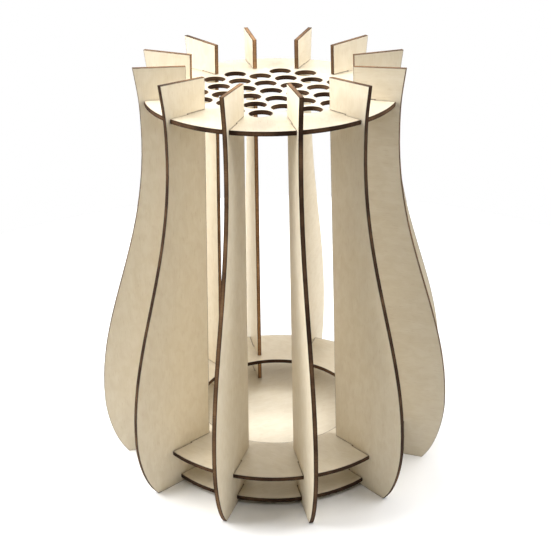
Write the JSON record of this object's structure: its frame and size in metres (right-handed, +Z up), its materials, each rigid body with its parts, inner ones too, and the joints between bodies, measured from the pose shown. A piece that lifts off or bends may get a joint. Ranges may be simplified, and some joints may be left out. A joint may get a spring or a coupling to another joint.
{
  "type": "brush and tool stand",
  "caption": "Vase-shaped plywood stand for brushes and slim tools: upright curved ribs slotted into a drilled top plate, a lower ring and a base disc.",
  "frame": {"origin": "on the stand's axis, at table level", "axes": "+Z up along the stand's axis; +X along rib_1, and the ribs follow counter-clockwise seen from above"},
  "size_m": [0.2632, 0.2632, 0.3],
  "materials": {
    "plywood": "bare birch plywood, matt, with laser-browned edges"
  },
  "bodies": {
    "root": {"top_plate": "plywood", "lower_ring": "plywood", "base_disc": "plywood", "rib_1": "plywood", "rib_2": "plywood", "rib_3": "plywood", "rib_4": "plywood", "rib_5": "plywood", "rib_6": "plywood", "rib_7": "plywood", "rib_8": "plywood", "rib_9": "plywood", "rib_10": "plywood", "rib_11": "plywood", "rib_12": "plywood"}
  },
  "joints": []
}
